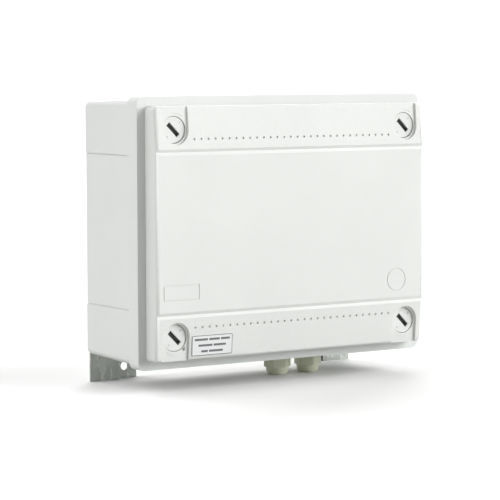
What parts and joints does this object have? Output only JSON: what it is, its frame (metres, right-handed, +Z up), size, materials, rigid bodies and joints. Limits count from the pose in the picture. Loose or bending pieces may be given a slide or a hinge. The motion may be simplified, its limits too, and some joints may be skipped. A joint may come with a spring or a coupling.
{
  "type": "dc combiner box",
  "caption": "Wall-mounted plastic enclosure with lift-off lid, fused string inputs, switch and surge protection on a rail, cable glands below and rear brackets.",
  "frame": {"origin": "centre of the footprint, on the surface the box stands on, level with the lower ends of the brackets and glands", "axes": "+X to the right seen from the front, +Y from the lid towards the wall, +Z up"},
  "size_m": [0.253, 0.1054, 0.215],
  "materials": {
    "box_plastic": "fine satin moulded",
    "lid_plastic": "fine satin moulded",
    "screw_plastic": "satin moulded",
    "gland_plastic": "satin nylon",
    "rubber": "matte",
    "bracket_steel": "zinc plated sheet",
    "screw_steel": "zinc plated",
    "rail_steel": "zinc plated",
    "device_plastic": "moulded",
    "dark_plastic": "moulded",
    "surge_plastic": "moulded",
    "earth_plastic": "moulded",
    "ceramic": "unglazed",
    "nickel": "nickel plated",
    "copper": "bare copper alloy",
    "red_wire": "insulation",
    "black_wire": "insulation",
    "earth_wire": "insulation",
    "sticker": "smooth"
  },
  "bodies": {
    "box": {"base_box": "box_plastic", "lid_gasket": "rubber", "bracket_left": "bracket_steel", "bracket_right": "bracket_steel", "bracket_screws": "screw_steel", "bracket_washers": "screw_steel", "bracket_nuts": "screw_steel", "din_rail": "rail_steel", "rail_screws": "screw_steel", "end_stops": "device_plastic", "fuse_base_1": "device_plastic", "fuse_base_2": "device_plastic", "fuse_hinge_pins": "screw_steel", "fuse_clips": "copper", "comb_bar_plus": "copper", "comb_bar_minus": "copper", "breaker_body": "device_plastic", "breaker_pin": "screw_steel", "surge_base": "device_plastic", "earth_terminal": "earth_plastic", "terminal_screws": "screw_steel", "plus_wire": "red_wire", "minus_wire": "black_wire", "surge_plus_wire": "red_wire", "surge_minus_wire": "black_wire", "earth_wire": "earth_wire", "gland_body_left": "gland_plastic", "gland_body_right": "gland_plastic", "gland_seals": "rubber", "gland_washers": "rubber", "gland_locknuts": "gland_plastic"},
    "lid": {"lid": "lid_plastic", "label": "sticker", "screw_seals": "rubber"},
    "screw_top_left": {"lid_screw_top_left": "screw_plastic"},
    "screw_top_right": {"lid_screw_top_right": "screw_plastic"},
    "screw_bottom_left": {"lid_screw_bottom_left": "screw_plastic"},
    "screw_bottom_right": {"lid_screw_bottom_right": "screw_plastic"},
    "carrier_1": {"fuse_carrier_1": "dark_plastic", "fuse_tubes_1": "ceramic", "fuse_caps_1": "nickel"},
    "carrier_2": {"fuse_carrier_2": "dark_plastic", "fuse_tubes_2": "ceramic", "fuse_caps_2": "nickel"},
    "lever": {"breaker_lever": "dark_plastic"},
    "cartridge_1": {"surge_cartridge_1": "surge_plastic", "surge_blades_1": "nickel"},
    "cartridge_2": {"surge_cartridge_2": "surge_plastic", "surge_blades_2": "nickel"},
    "cartridge_3": {"surge_cartridge_3": "surge_plastic", "surge_blades_3": "nickel"},
    "dome_left": {"gland_dome_left": "gland_plastic"},
    "dome_right": {"gland_dome_right": "gland_plastic"}
  },
  "joints": [
    {"name": "lid_lift", "type": "slide", "parent": "box", "child": "lid", "axis": [0, -1, 0], "range_m": [0, 0.12]},
    {"name": "screw_turn_top_left", "type": "hinge", "parent": "lid", "child": "screw_top_left", "pos_m": [-0.103, -0.045, 0.191], "axis": [0, 1, 0], "range_deg": [0, 90]},
    {"name": "screw_turn_top_right", "type": "hinge", "parent": "lid", "child": "screw_top_right", "pos_m": [0.103, -0.045, 0.191], "axis": [0, 1, 0], "range_deg": [0, 90]},
    {"name": "screw_turn_bottom_left", "type": "hinge", "parent": "lid", "child": "screw_bottom_left", "pos_m": [-0.103, -0.045, 0.041], "axis": [0, 1, 0], "range_deg": [0, 90]},
    {"name": "screw_turn_bottom_right", "type": "hinge", "parent": "lid", "child": "screw_bottom_right", "pos_m": [0.103, -0.045, 0.041], "axis": [0, 1, 0], "range_deg": [0, 90]},
    {"name": "fuse_carrier_open_1", "type": "hinge", "parent": "box", "child": "carrier_1", "pos_m": [-0.067, -0.01945, 0.0975], "axis": [1, 0, 0], "range_deg": [0, 20]},
    {"name": "fuse_carrier_open_2", "type": "hinge", "parent": "box", "child": "carrier_2", "pos_m": [-0.031, -0.01945, 0.0975], "axis": [1, 0, 0], "range_deg": [0, 20]},
    {"name": "breaker_switch", "type": "hinge", "parent": "box", "child": "lever", "pos_m": [0.005, -0.02745, 0.116], "axis": [1, 0, 0], "range_deg": [0, 76]},
    {"name": "surge_pull_1", "type": "slide", "parent": "box", "child": "cartridge_1", "axis": [0, -1, 0], "range_m": [0, 0.015]},
    {"name": "surge_pull_2", "type": "slide", "parent": "box", "child": "cartridge_2", "axis": [0, -1, 0], "range_m": [0, 0.015]},
    {"name": "surge_pull_3", "type": "slide", "parent": "box", "child": "cartridge_3", "axis": [0, -1, 0], "range_m": [0, 0.015]},
    {"name": "gland_turn_left", "type": "hinge", "parent": "box", "child": "dome_left", "pos_m": [0.02, 0.0005, 0.008], "axis": [0, 0, 1], "range_deg": [-180, 180]},
    {"name": "gland_turn_right", "type": "hinge", "parent": "box", "child": "dome_right", "pos_m": [0.0485, 0.0005, 0.008], "axis": [0, 0, 1], "range_deg": [-180, 180]}
  ]
}
